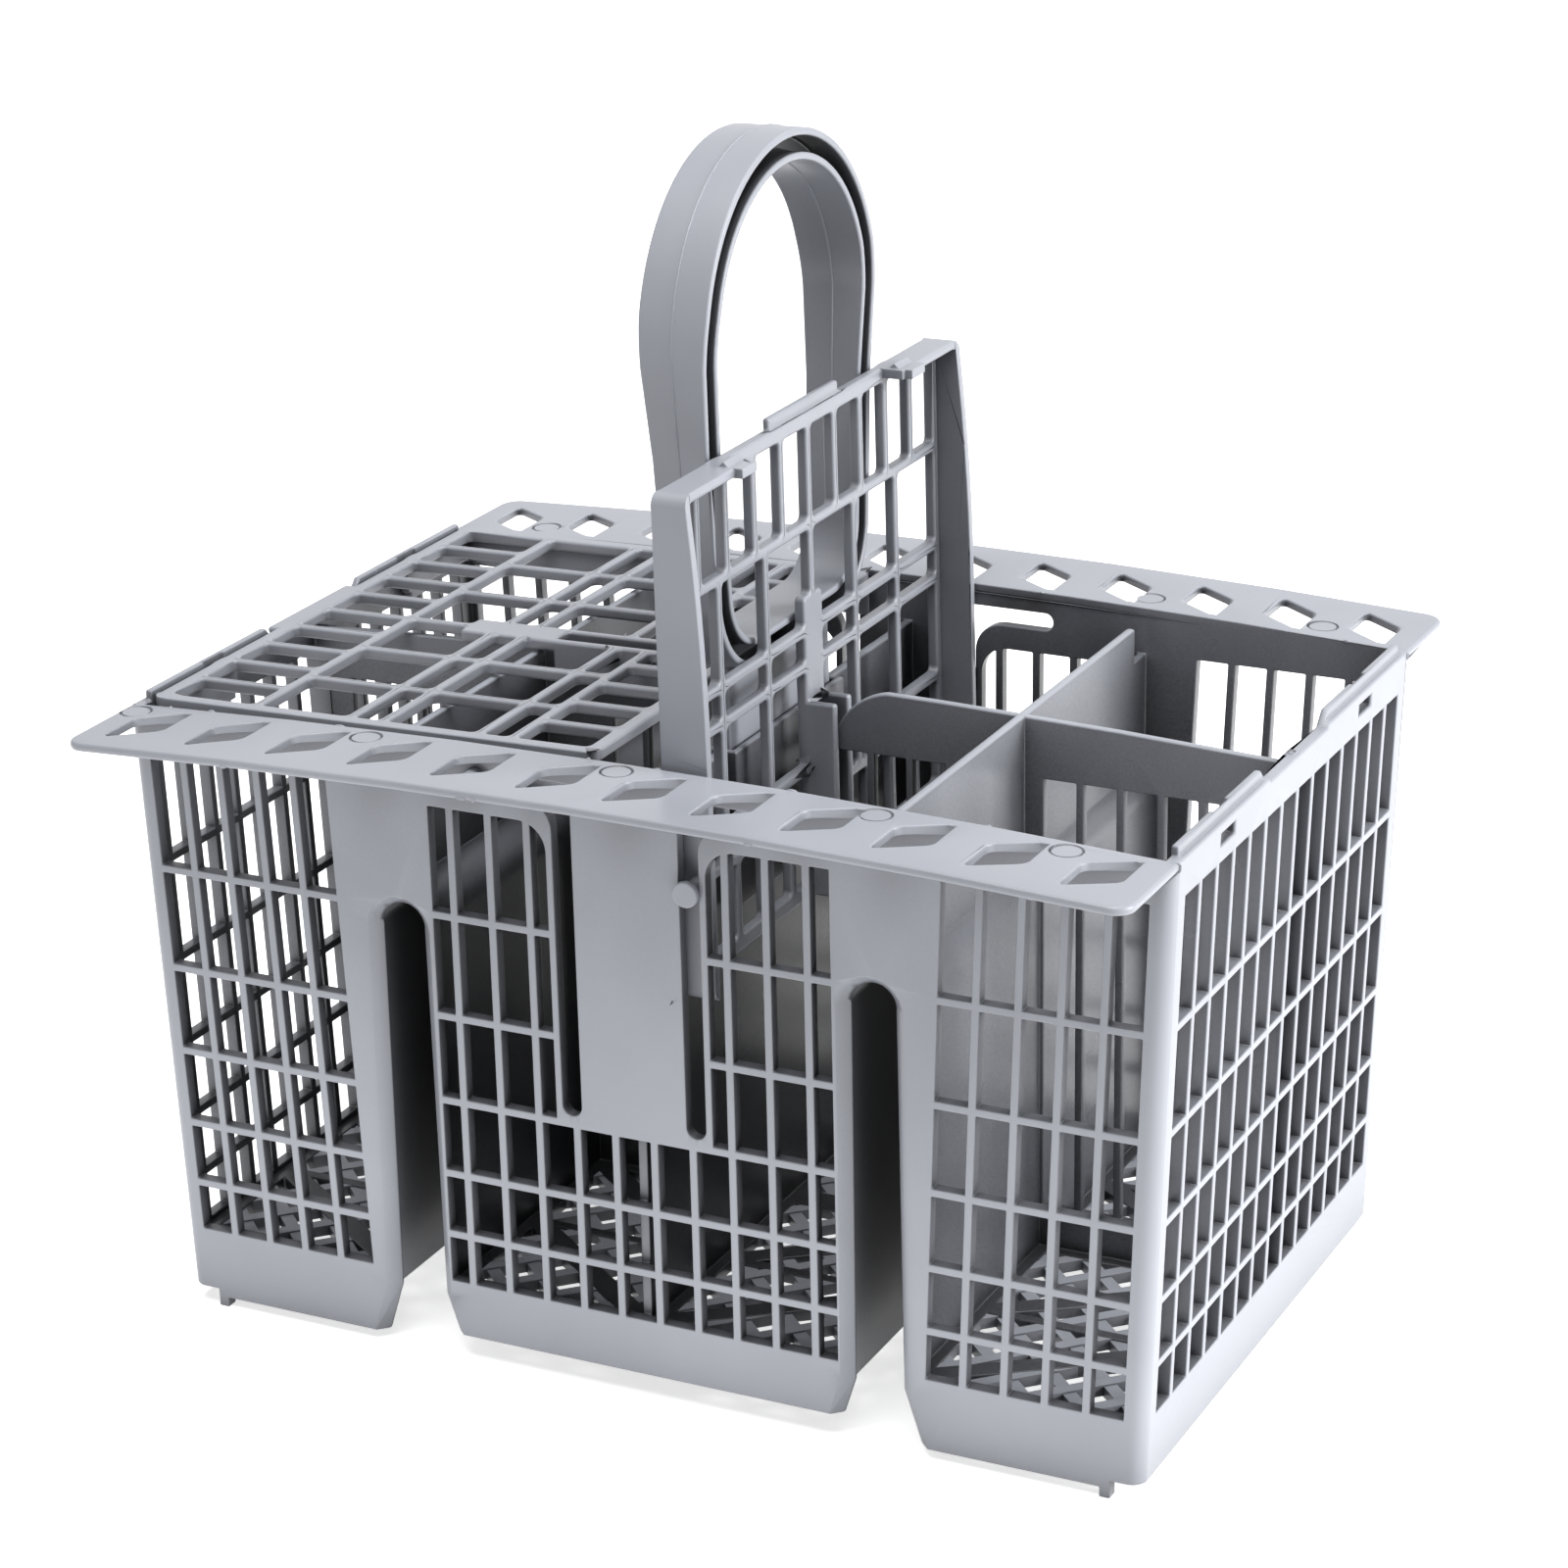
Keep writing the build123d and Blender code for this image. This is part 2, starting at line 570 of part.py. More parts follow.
def build_lid(pin_plane):
    """One lid. Its pins lie on the Y axis of the plane, which points from them to the free end and up."""
    underside = pin_plane.offset(lid_top - lid_plate)
    side_plane = Plane(pin_plane.origin, x_dir=pin_plane.x_dir, z_dir=-pin_plane.y_dir)
    length = lid_reach + lid_tail
    field = 2 * (lid_half - lid_frame) + lid_bar
    rib_start = cross_place - divider / 2 - guide_clearance - branch_end
    guide_length = rib_start + lid_tail
    with BuildPart() as lid:
        # Top plate with its columns of slots, cells and narrow gaps
        with BuildSketch(underside):
            with Locations((lid_reach, 0)):
                Rectangle(length, 2 * lid_half, align=(Align.MAX, Align.CENTER))
            start = lid_reach - lid_frame
            for span, count in (
                (lid_slot_length, lid_slot_count),
                (lid_cell_length, lid_cell_count),
                (lid_gap_length, lid_cell_count),
                (lid_cell_length, lid_cell_count),
                (lid_gap_length, lid_cell_count),
                (lid_last_slot, lid_slot_count),
            ):
                with Locations((start - span / 2, 0)):
                    with GridLocations(0, field / count, 1, count):
                        Rectangle(span, field / count - lid_bar, mode=Mode.SUBTRACT)
                start -= span + lid_bar
            guide_start = lid_reach - lid_frame - lid_slot_length - lid_cell_length - lid_gap_length
            guide_outer = guide_gap / 2 + guide_rib
            with Locations((guide_start, 0)):
                Rectangle(guide_start + lid_tail, 2 * guide_outer, align=(Align.MAX, Align.CENTER))
                Rectangle(lid_gap_length + 2 * lid_bar, 2 * guide_outer, align=(Align.MIN, Align.CENTER))
            with Locations((rib_start, 0)):
                Rectangle(guide_length, guide_gap, align=(Align.MAX, Align.CENTER), mode=Mode.SUBTRACT)
        extrude(amount=lid_plate)
        # Guide ribs that straddle the divider along the middle
        with BuildSketch(pin_plane.offset(lid_top - guide_depth)):
            with Locations((guide_length / 2 - lid_tail, 0)):
                with GridLocations(0, guide_gap + guide_rib, 1, 2):
                    Rectangle(guide_length, guide_rib)
        extrude(amount=guide_depth)
        # Side skirts, shallower towards the free end
        with BuildSketch(side_plane.offset(lid_half - lid_skirt), side_plane.offset(-lid_half)):
            skirt_foot = lid_top - lid_skirt_depth
            with BuildLine():
                Polyline(
                    (lid_reach - lid_skirt_curve, skirt_foot),
                    (-lid_tail, skirt_foot),
                    (-lid_tail, lid_top),
                    (lid_reach, lid_top),
                    (lid_reach, lid_top - lid_skirt_nose),
                )
                TangentArc(
                    (lid_reach - lid_skirt_curve, skirt_foot),
                    (lid_reach, lid_top - lid_skirt_nose),
                    tangent=(1, 0),
                )
            make_face()
        extrude(amount=lid_skirt)
        # End skirts in the corners, and the pads that carry the catches
        with BuildSketch(pin_plane.offset(lid_top - lid_skirt_nose)):
            end_run = lid_half - end_skirt_start
            with Locations((lid_reach - lid_skirt / 2, 0)):
                with GridLocations(0, 2 * end_skirt_start + end_run, 1, 2):
                    Rectangle(lid_skirt, end_run)
        extrude(amount=lid_skirt_nose)
        with BuildSketch(pin_plane.offset(lid_top - lid_skirt_nose - catch_pad)):
            with Locations((lid_reach - lid_skirt / 2, 0)):
                with GridLocations(0, 2 * latch_place, 1, 2):
                    Rectangle(lid_skirt, catch_width)
        extrude(amount=catch_pad)
        # Corners rounded in plan
        with BuildSketch(pin_plane.offset(-lid_skirt_depth)):
            with Locations((lid_reach - length / 2, 0)):
                RectangleRounded(length, 2 * lid_half, lid_corner)
        extrude(amount=lid_top + lid_skirt_depth, mode=Mode.INTERSECT)
        # Finger tab, thinner than the plate
        with BuildSketch(pin_plane.offset(lid_top - lid_tab_thick)):
            with Locations((lid_reach, 0)):
                Rectangle(2 * lid_tab, lid_tab_width)
        extrude(amount=lid_tab_thick)
        # Catches: wedges that spring into the latch windows
        catch_middle = rim_height - latch_drop - branch_height + lid_dip
        catch_planes = [side_plane.offset(place - catch_width / 2) for place in (-latch_place, latch_place)]
        with BuildSketch(*catch_planes):
            with Locations((lid_reach, catch_middle)):
                Polygon(
                    (0, -catch_height / 2),
                    (catch_reach, 0),
                    (0, catch_height / 2),
                    align=None,
                )
        extrude(amount=catch_width)
        # Pins with round heads outside the walls
        head_start = box_depth / 2 + pin_head_gap
        pin_end = head_start + pin_head_thick
        pin_start = lid_half - lid_skirt
        with BuildSketch(side_plane.offset(pin_start), side_plane.offset(-pin_end)):
            Circle(pin_diameter / 2)
        extrude(amount=pin_end - pin_start)
        with BuildSketch(side_plane.offset(head_start), side_plane.offset(-pin_end)):
            Circle(pin_head / 2)
        extrude(amount=pin_head_thick)
    return lid.part


# The left lid is closed, its free end a little lower than its pins
left_pin_plane = Plane(
    (-branch_end, 0, branch_height),
    x_dir=(-lid_reach, 0, -lid_dip),
    z_dir=(-lid_dip, 0, lid_reach),
)
left_lid = build_lid(left_pin_plane)
left_lid.label = "left_lid"

# The right lid leans towards the handle, and clears its strap wherever the lid slides
right_pin_height = branch_height - right_lid_drop
free_end_top = branch_height + lid_reach
swell_rate = (strap_width - strap_foot_width) / 2 / (swell_end - swell_start)
saddle_edge = strap_foot_width / 2 - handle_slope * (handle_saddle - handle_pivot)
grip_half = strap_foot_width / 2 + swell_rate * (free_end_top - swell_start)
grip_edge = grip_half - handle_slope * (free_end_top - handle_pivot)
lid_lean = track_place - lid_top - lean_clearance - max(saddle_edge, grip_edge)
right_pin_plane = Plane(
    (track_place, 0, right_pin_height),
    x_dir=(-lid_lean, 0, lid_reach),
    z_dir=(-lid_reach, 0, -lid_lean),
)
right_lid = build_lid(right_pin_plane)
right_lid.label = "right_lid"

os.makedirs("parts", exist_ok=True)
export_step(basket_body.part, "parts/basket_body.step")
export_step(carry_handle.part, "parts/carry_handle.step")
export_step(left_lid, "parts/left_lid.step")
export_step(right_lid, "parts/right_lid.step")
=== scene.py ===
import json
import math
from itertools import product

import bmesh
import bpy
from mathutils import Matrix, Vector

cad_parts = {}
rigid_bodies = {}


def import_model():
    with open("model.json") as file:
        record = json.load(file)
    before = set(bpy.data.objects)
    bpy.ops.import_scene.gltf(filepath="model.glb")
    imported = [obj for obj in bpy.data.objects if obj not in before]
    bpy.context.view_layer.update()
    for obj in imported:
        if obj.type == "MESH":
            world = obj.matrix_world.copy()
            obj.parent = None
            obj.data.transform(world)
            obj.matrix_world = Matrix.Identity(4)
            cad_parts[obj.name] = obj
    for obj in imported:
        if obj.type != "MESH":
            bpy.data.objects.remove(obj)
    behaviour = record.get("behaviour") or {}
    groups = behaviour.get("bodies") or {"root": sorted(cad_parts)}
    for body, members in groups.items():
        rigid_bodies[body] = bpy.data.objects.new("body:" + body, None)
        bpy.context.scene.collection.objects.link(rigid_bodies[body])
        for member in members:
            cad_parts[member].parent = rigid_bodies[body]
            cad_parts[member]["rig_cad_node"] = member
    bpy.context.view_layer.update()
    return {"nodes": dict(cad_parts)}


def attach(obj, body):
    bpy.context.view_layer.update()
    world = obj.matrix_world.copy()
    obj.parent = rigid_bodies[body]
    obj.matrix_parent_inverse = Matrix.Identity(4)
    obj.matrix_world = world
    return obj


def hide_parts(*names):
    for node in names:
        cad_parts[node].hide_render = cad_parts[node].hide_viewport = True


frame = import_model()

MM = 0.001

# Where the camera stood, found from the basket's own straight edges in the photograph
camera_place = Vector((356.0, -721.0, 400.0)) * MM
camera_yaw = math.radians(-26.20)
camera_pitch = math.radians(20.27)
camera_roll = math.radians(1.08)
camera_lens = 101.4
sensor_width = 36.0
camera_range = 50.0

# The basket's own sizes that the finish follows, in millimetres
rim_half = 106.4
rim_height = 125.0
rim_crown = 2.8
arch_runs = 3
rim_margin = 3.0
wall_inside = 61.4
end_lip_start = 100.0
flange_start = 64.1
flange_middle = 70.0
flange_holes_end = 81.5
flange_thick = 2.2
tunnel_place = 48.6
tunnel_top = 97.0
tunnel_half = 7.3
tunnel_foot_half = 11.5
tunnel_foot_top = 16.0
divider_tops_from = 117.0
divider_half = 60.0
track_end = 32.0
track_level = 121.3
track_half = 2.2
track_wall = 2.0

# A lid's sizes: cross lines are the edges of its bars from the pins to the free end, long lines those from its middle
lid_plate = 2.3
lid_reach = 73.0
lid_field = 57.2
lid_skirt_start = 57.5
lid_corner_start = 54.0
lid_corner_length = 4.5
catch_place = 37.0
catch_half = 4.2
catch_length = 3.0
lid_cross_lines = (71.1, 70.0, 52.0, 50.0, 31.4, 29.4, 24.4, 22.4, 3.8, 1.8, -3.2, -5.2, -20.0)
lid_long_lines = (1.0, 2.2, 4.0, 10.6, 12.6, 18.333, 20.333, 22.2, 24.2, 33.8, 35.8, 37.667, 39.667)
lid_long_lines += (45.4, 47.4, 57.0, 58.1)
left_pins = (-30.2, 0.0, track_level)
left_way = (-lid_reach, 0.0, -1.6)
right_pins = (13.0, 0.0, 105.8)
right_way = (-0.98, 0.0, lid_reach)

# The handle's outer line, which its parting lines follow
handle_half = 37.0
handle_spring = 194.5
handle_foot_half = 31.5
handle_foot = 133.0
handle_slope = 0.01793
handle_shift = 1.856
strap_thick = 6.0
seam_start = 0.4
seam_leg_steps = 8
seam_bow_steps = 36

# Rounding of the edges, in millimetres
wall_round = 0.28
flange_round = 0.6
hole_top_round = 0.4
hole_foot_round = 0.2
hole_corner = 1.4
end_lip_round = 0.4
divider_round = 0.5
track_round = 1.7
lid_round = 0.6
lid_corner = 1.1
lid_end_round = 0.12
skirt_round = 0.3
catch_round = 0.2
strap_round = 0.45

# Angles between faces, from which an edge counts as a corner, is rounded, or stays sharp in the shading
corner_angle = math.radians(25)
sharp_angle = math.radians(40)
crease_angle = math.radians(50)
pad_crease_angle = math.radians(35)

# Marks that the mould left, in millimetres
seam_radius = 0.22
mark_radius = 3.2
mark_depth = 0.7
mark_groove = 0.55
mark_sides = 40
cutter_depth = 4.0
pad_depth = 0.8
pad_drop = 0.5

# Round marks of the ejector pins on the flanges, as the photograph shows them, front then back
ejector_marks = [(x, -65.6) for x in (-103.0, -52.3, 0.0, 51.3, 87.3)]
ejector_marks += [(x, 67.6) for x in (-87.3, -51.3, 50.5, 86.9)]

# Specks of flash along the edges of the mould
flash_specks = [
    (-97.9, -61.5), (-88.7, -61.5), (-60.4, -61.5), (-7.9, -61.5), (6.2, -61.5), (33.0, -61.5), (71.0, -61.5),
    (-71.0, -85.3), (-21.0, -85.3), (-18.5, -85.3), (36.0, -85.3), (88.5, -84.9), (29.5, 61.5), (94.0, 61.5),
]
speck_radius = 0.45
inner_speck_drop = 0.1
outer_speck_drop = 1.4

# Ribs of the drain floor: its bays along and across the basket, and the lean and drop of its two layers
lattice_bays = ((-99.0, -55.0), (-42.0, -1.0), (1.0, 42.0), (55.0, 99.0))
lattice_halves = ((-60.0, -0.8), (0.8, 60.0))
lattice_layers = ((1, 0.1), (-1, 0.4))
lattice_pitch = 11.5
lattice_rib = 2.6
lattice_level = 14.2
lattice_depth = 2.2
rib_steps = 40
shortest_rib = 4

# Colours and patterns of the moulding, patterns in millimetres
plastic_pale = "#A2A5AD"
plastic_dark = "#979AA2"
stain_colour = "#6A645F"
flow_cloud = 45.0
tool_grain = 0.9
grain_depth = 0.1
smudge_place = (26.5, 61.4, 123.6)
smudge_reach = (9.0, 4.0, 4.5)
smudge_blot = 3.5
# Painted shade in deep corners: how far to look for surrounding surfaces, in millimetres, and how dark to paint the
# colour for each degree of openness
shade_reach = 160.0
shade_stops = ((0.3, 0.04), (0.47, 0.45), (0.66, 0.58), (0.95, 1.0))

# The room: light thrown up by the table at each distance from the basket in metres, and the lamps in metres and watts
white = "#FFFFFF"
floor_size = 12.0
table_bounce = 2.2
bounce_stops = ((0.0, 0.0), (0.02, 1.0), (0.14, 1.0), (0.42, 0.1))
table_glow = 0.7
world_fill = 0.12
lamp_aim = (0, 0, 0.1)
softboxes = (
    ("top_softbox", (0.1, -0.4, 1.9), 1.4, 38),
    ("right_softbox", (1.6, 0.3, 0.65), 0.9, 36),
)


def linear(hex_colour):
    """Linear RGBA for an sRGB hex colour."""
    channels = [int(hex_colour[i:i + 2], 16) / 255 for i in (1, 3, 5)]
    return [c / 12.92 if c <= 0.04045 else ((c + 0.055) / 1.055) ** 2.4 for c in channels] + [1.0]


def grey(level):
    return level, level, level, 1.0


def rim_level(x):
    """Height of the arched rim, which is made of straight runs, at a place along the basket."""
    step = min(abs(x) / rim_half, 1.0) * arch_runs
    low = min(int(step), arch_runs - 1)
    ends = [1 - (n / arch_runs) ** 2 for n in (low, low + 1)]
    return rim_height + rim_crown * (ends[0] + (ends[1] - ends[0]) * (step - low))


def add_node(tree, kind, settings=None, stops=()):
    """Adds a node. Each setting is an input, by name or number, or a property, and is a value or a socket to link."""
    node = tree.nodes.new(kind)
    for key, value in (settings or {}).items():
        if isinstance(value, bpy.types.NodeSocket):
            tree.links.new(value, node.inputs[key])
        elif isinstance(key, int) or key in node.inputs:
            node.inputs[key].default_value = value
        else:
            setattr(node, key, value)
    if stops:
        elements = node.color_ramp.elements
        for element, (position, colour) in zip(elements, (stops[0], stops[-1])):
            element.position = position
            element.color = colour
        for position, colour in stops[1:-1]:
            elements.new(position).color = colour
    return node


def new_material(name):
    material = bpy.data.materials.new(name)
    material.use_nodes = True
    material.node_tree.nodes.clear()
    return material


def moulded_polypropylene(name):
    """Polypropylene as moulded: satin, faintly mottled by its flow, with the fine grain of the tool, and with painted
    shade that darkens its colour in deep corners.
    """
    material = new_material(name)
    tree = material.node_tree
    place = add_node(tree, "ShaderNodeTexCoord").outputs["Object"]

    # Soft clouds left by the flow of the melt
    clouds = {"Scale": 1 / (flow_cloud * MM), "Detail": 3.0, "Vector": place}
    flow = add_node(tree, "ShaderNodeTexNoise", clouds).outputs["Fac"]
    tones = ((0.3, linear(plastic_dark)), (0.7, linear(plastic_pale)))
    tone = add_node(tree, "ShaderNodeValToRGB", {"Fac": flow}, tones).outputs["Color"]

    # A brown smudge that use has left under the back rim
    from_smudge = {"operation": "SUBTRACT", 0: place, 1: Vector(smudge_place) * MM}
    offset = add_node(tree, "ShaderNodeVectorMath", from_smudge).outputs["Vector"]
    in_reaches = {"operation": "DIVIDE", 0: offset, 1: Vector(smudge_reach) * MM}
    squeezed = add_node(tree, "ShaderNodeVectorMath", in_reaches).outputs["Vector"]
    away = add_node(tree, "ShaderNodeVectorMath", {"operation": "LENGTH", 0: squeezed}).outputs["Value"]
    fading = {"From Min": 1.0, "From Max": 0.4, "Value": away}
    patch = add_node(tree, "ShaderNodeMapRange", fading).outputs["Result"]
    spots = {"Scale": 1 / (smudge_blot * MM), "Detail": 4.0, "Vector": place}
    blots = add_node(tree, "ShaderNodeTexNoise", spots).outputs["Fac"]
    smudge = add_node(tree, "ShaderNodeMath", {"operation": "MULTIPLY", 0: patch, 1: blots}).outputs["Value"]
    stained = {"data_type": "RGBA", "Factor": smudge, 6: tone, 7: linear(stain_colour)}
    colour = add_node(tree, "ShaderNodeMix", stained).outputs[2]

    # Painted shade: the colour is darkened in deep corners, where little light gets in, beyond the shadow that the
    # lamps give them
    around = {"Distance": shade_reach * MM, "samples": 6, "only_local": True}
    openness = add_node(tree, "ShaderNodeAmbientOcclusion", around).outputs["AO"]
    shades = [(position, grey(level)) for position, level in shade_stops]
    shade = add_node(tree, "ShaderNodeValToRGB", {"Fac": openness}, shades).outputs["Color"]
    painted_shade_blend = {"data_type": "RGBA", "blend_type": "MULTIPLY", "Factor": 1.0, 6: colour, 7: shade}
    painted_shade_colour = add_node(tree, "ShaderNodeMix", painted_shade_blend).outputs[2]

    # Grain of the tool, drawn coarser than it is so that it shows, and the uneven polish of use
    speckle = {"Scale": 1 / (tool_grain * MM), "Detail": 2.0, "Vector": place}
    grain = add_node(tree, "ShaderNodeTexNoise", speckle).outputs["Fac"]
    relief = {"Strength": 0.1, "Distance": grain_depth * MM, "Height": grain}
    bump = add_node(tree, "ShaderNodeBump", relief).outputs["Normal"]
    satin = {"From Min": 0.3, "From Max": 0.7, "To Min": 0.27, "To Max": 0.38, "Value": flow}
    polish = add_node(tree, "ShaderNodeMapRange", satin).outputs["Result"]
    surface = {"IOR": 1.49, "Base Color": painted_shade_colour, "Roughness": polish, "Normal": bump}
    shader = add_node(tree, "ShaderNodeBsdfPrincipled", surface).outputs["BSDF"]
    add_node(tree, "ShaderNodeOutputMaterial", {"Surface": shader})
    return material


def deselect_all():
    for other in bpy.context.view_layer.objects:
        other.select_set(False)


def empty_piece(name):
    """A new piece with nothing in it yet, left in edit mode for what is added next."""
    deselect_all()
    bpy.ops.mesh.primitive_cube_add(size=MM)
    piece = bpy.context.view_layer.objects.active
    piece.name = name
    bpy.ops.object.mode_set(mode="EDIT")
    bpy.ops.mesh.delete(type="VERT")
    return piece


def finish_piece(piece, node_name, body):
    piece.data.materials.clear()
    piece.data.materials.append(grey_plastic)
    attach(piece, body)
    if node_name:
        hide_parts(node_name)


def moulded_copy(node_name):
    """A copy of a CAD node, with its triangles joined at their corners."""
    deselect_all()
    node = frame["nodes"][node_name]
    node.select_set(True)
    bpy.context.view_layer.objects.active = node
    bpy.ops.object.duplicate()
    piece = bpy.context.view_layer.objects.active
    piece.name = node_name + "_moulded"
    del piece["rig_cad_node"]
    bpy.ops.object.mode_set(mode="EDIT")
    bpy.ops.mesh.select_all(action="SELECT")
    bpy.ops.mesh.remove_doubles(threshold=0.005 * MM)
    bpy.ops.mesh.tris_convert_to_quads(face_threshold=math.radians(1), shape_threshold=math.radians(60))
    bpy.ops.object.mode_set(mode="OBJECT")
    return piece


def square_faces(piece, cuts):
    """Cuts a piece along planes and joins what is flat between them, so that its bars become clean strips."""
    bpy.ops.object.mode_set(mode="EDIT")
    bpy.ops.mesh.select_mode(type="EDGE")
    for point, normal in cuts:
        bpy.ops.mesh.select_all(action="SELECT")
        bpy.ops.mesh.bisect(plane_co=point, plane_no=normal, threshold=0.002 * MM)
    shape = bmesh.from_edit_mesh(piece.data)
    for edge in shape.edges:
        edge.seam = any(
            all(abs((corner.co - point).dot(normal)) < 0.004 * MM for corner in edge.verts)
            for point, normal in cuts
        )
    bmesh.update_edit_mesh(piece.data)
    bpy.ops.mesh.select_all(action="SELECT")
    bpy.ops.mesh.dissolve_limited(angle_limit=math.radians(0.5), delimit={"SEAM"})
    bpy.ops.object.mode_set(mode="OBJECT")


def round_corners(piece, wanted, radius, segments):
    """Rounds the edges for which a test of their middle, direction and length holds."""
    bpy.ops.object.mode_set(mode="EDIT")
    bpy.ops.mesh.select_mode(type="EDGE")
    bpy.ops.mesh.select_all(action="DESELECT")
    shape = bmesh.from_edit_mesh(piece.data)
    for edge in shape.edges:
        if len(edge.link_faces) == 2 and edge.calc_face_angle() > corner_angle:
            start, end = (corner.co / MM for corner in edge.verts)
            edge.select = wanted((start + end) / 2, (end - start).normalized(), (end - start).length)
    bmesh.update_edit_mesh(piece.data)
    bpy.ops.mesh.bevel(offset=radius * MM, segments=segments, affect="EDGES", clamp_overlap=True, loop_slide=False)
    bpy.ops.mesh.select_all(action="DESELECT")
    bpy.ops.object.mode_set(mode="OBJECT")


def sink_marks(piece, places):
    """Shallow round marks in the top of the flanges, where the ejector pins stood."""
    cutter = empty_piece("mark_cutter")
    for x, y in places:
        height = rim_level(x) - mark_depth + cutter_depth / 2
        bpy.ops.mesh.primitive_cylinder_add(
            vertices=mark_sides,
            radius=mark_radius * MM,
            depth=cutter_depth * MM,
            location=Vector((x, y, height)) * MM,
        )
    bpy.ops.object.mode_set(mode="OBJECT")
    deselect_all()
    piece.select_set(True)
    bpy.context.view_layer.objects.active = piece
    cut = piece.modifiers.new("marks", "BOOLEAN")
    cut.operation = "DIFFERENCE"
    cut.solver = "EXACT"
    cut.object = cutter
    bpy.ops.object.modifier_apply(modifier=cut.name)
    bpy.data.objects.remove(cutter)


def soften(piece, rounding_at, segments, marks=()):
    """Rounds every sharp edge by the millimetres that suit its place, then sinks any round marks."""
    shape = bmesh.new()
    shape.from_mesh(piece.data)
    weight = shape.edges.layers.float.new("bevel_weight_edge")
    for edge in shape.edges:
        if len(edge.link_faces) == 2 and edge.calc_face_angle() > sharp_angle:
            edge[weight] = rounding_at((edge.verts[0].co + edge.verts[1].co) / 2 / MM)
    shape.to_mesh(piece.data)
    shape.free()
    bevel = piece.modifiers.new("rounded_edges", "BEVEL")
    bevel.width = MM
    bevel.segments = segments
    bevel.limit_method = "WEIGHT"
    bevel.use_clamp_overlap = False
    bevel.loop_slide = False
    bpy.ops.object.modifier_apply(modifier=bevel.name)
    if marks:
        sink_marks(piece, marks)
    bpy.ops.object.shade_smooth_by_angle(angle=crease_angle)
    even = piece.modifiers.new("flat_faces", "WEIGHTED_NORMAL")
    even.keep_sharp = True
    bpy.ops.object.modifier_apply(modifier=even.name)


def body_rounding(place):
    """Rounding of the basket: none at the tunnels' mouths, which the solid has chamfered already."""
    x, y, z = abs(place.x), abs(place.y), place.z
    top = rim_level(x)
    if y > flange_start and z > top - flange_thick:
        if y < flange_holes_end and x < rim_half - 1:
            return hole_top_round if z > top - 0.5 else hole_foot_round
        return flange_round
    mouth_half = tunnel_half if z > tunnel_foot_top else tunnel_foot_half
    if y > wall_inside and z < tunnel_top and abs(x - tunnel_place) < mouth_half:
        return 0.0
    if z > rim_height - rim_margin and x > end_lip_start:
        return end_lip_round
    if z > divider_tops_from and y < divider_half:
        return divider_round
    return wall_round


def lid_rounding(upright):
    """Rounding of a lid, finer at the catches and corners of its free end and along its skirts."""
    def rounding(place):
        along = place.z - right_pins[2] if upright else left_pins[0] - place.x
        if along > lid_reach - catch_length and abs(abs(place.y) - catch_place) < catch_half:
            return catch_round
        if along > lid_reach - lid_corner_length and abs(place.y) > lid_corner_start:
            return lid_end_round
        if abs(place.y) > lid_skirt_start:
            return skirt_round
        return lid_round
    return rounding


def mould_basket():
    piece = moulded_copy("basket_body")

    def hole_corners(middle, way, length):
        return (
            abs(way.z) > 0.99 and length < 2.5
            and flange_start < abs(middle.y) < flange_holes_end
            and middle.z > rim_height - rim_margin and abs(middle.x) < rim_half - rim_margin
        )

    def track_ends(middle, way, length):
        return (
            abs(way.y) > 0.99 and length > track_wall
            and abs(abs(middle.x) - track_end) < 0.2 and abs(middle.z - track_level) < track_half
        )

    round_corners(piece, hole_corners, hole_corner, 4)
    round_corners(piece, track_ends, track_round, 5)
    soften(piece, body_rounding, 2, ejector_marks)
    finish_piece(piece, "basket_body", "basket")


def mould_lid(node_name, upright, pins, way_to_end):
    piece = moulded_copy(node_name)
    along = Vector(way_to_end).normalized()
    across = Vector((0, 1, 0))
    cuts = [(Vector(pins) * MM + along * (line * MM), along) for line in lid_cross_lines]
    cuts += [(Vector((0, side * line, 0)) * MM, across) for line in lid_long_lines for side in (-1, 1)]
    square_faces(piece, cuts)

    def slot_corners(middle, way, length):
        through = way.x if upright else way.z
        return abs(through) > 0.99 and abs(length - lid_plate) < 0.08 and abs(middle.y) < lid_field

    round_corners(piece, slot_corners, lid_corner, 3)
    soften(piece, lid_rounding(upright), 3)
    finish_piece(piece, node_name, node_name)


def mould_handle():
    piece = moulded_copy("carry_handle")
    soften(piece, lambda place: strap_round, 2)
    finish_piece(piece, "carry_handle", "basket")


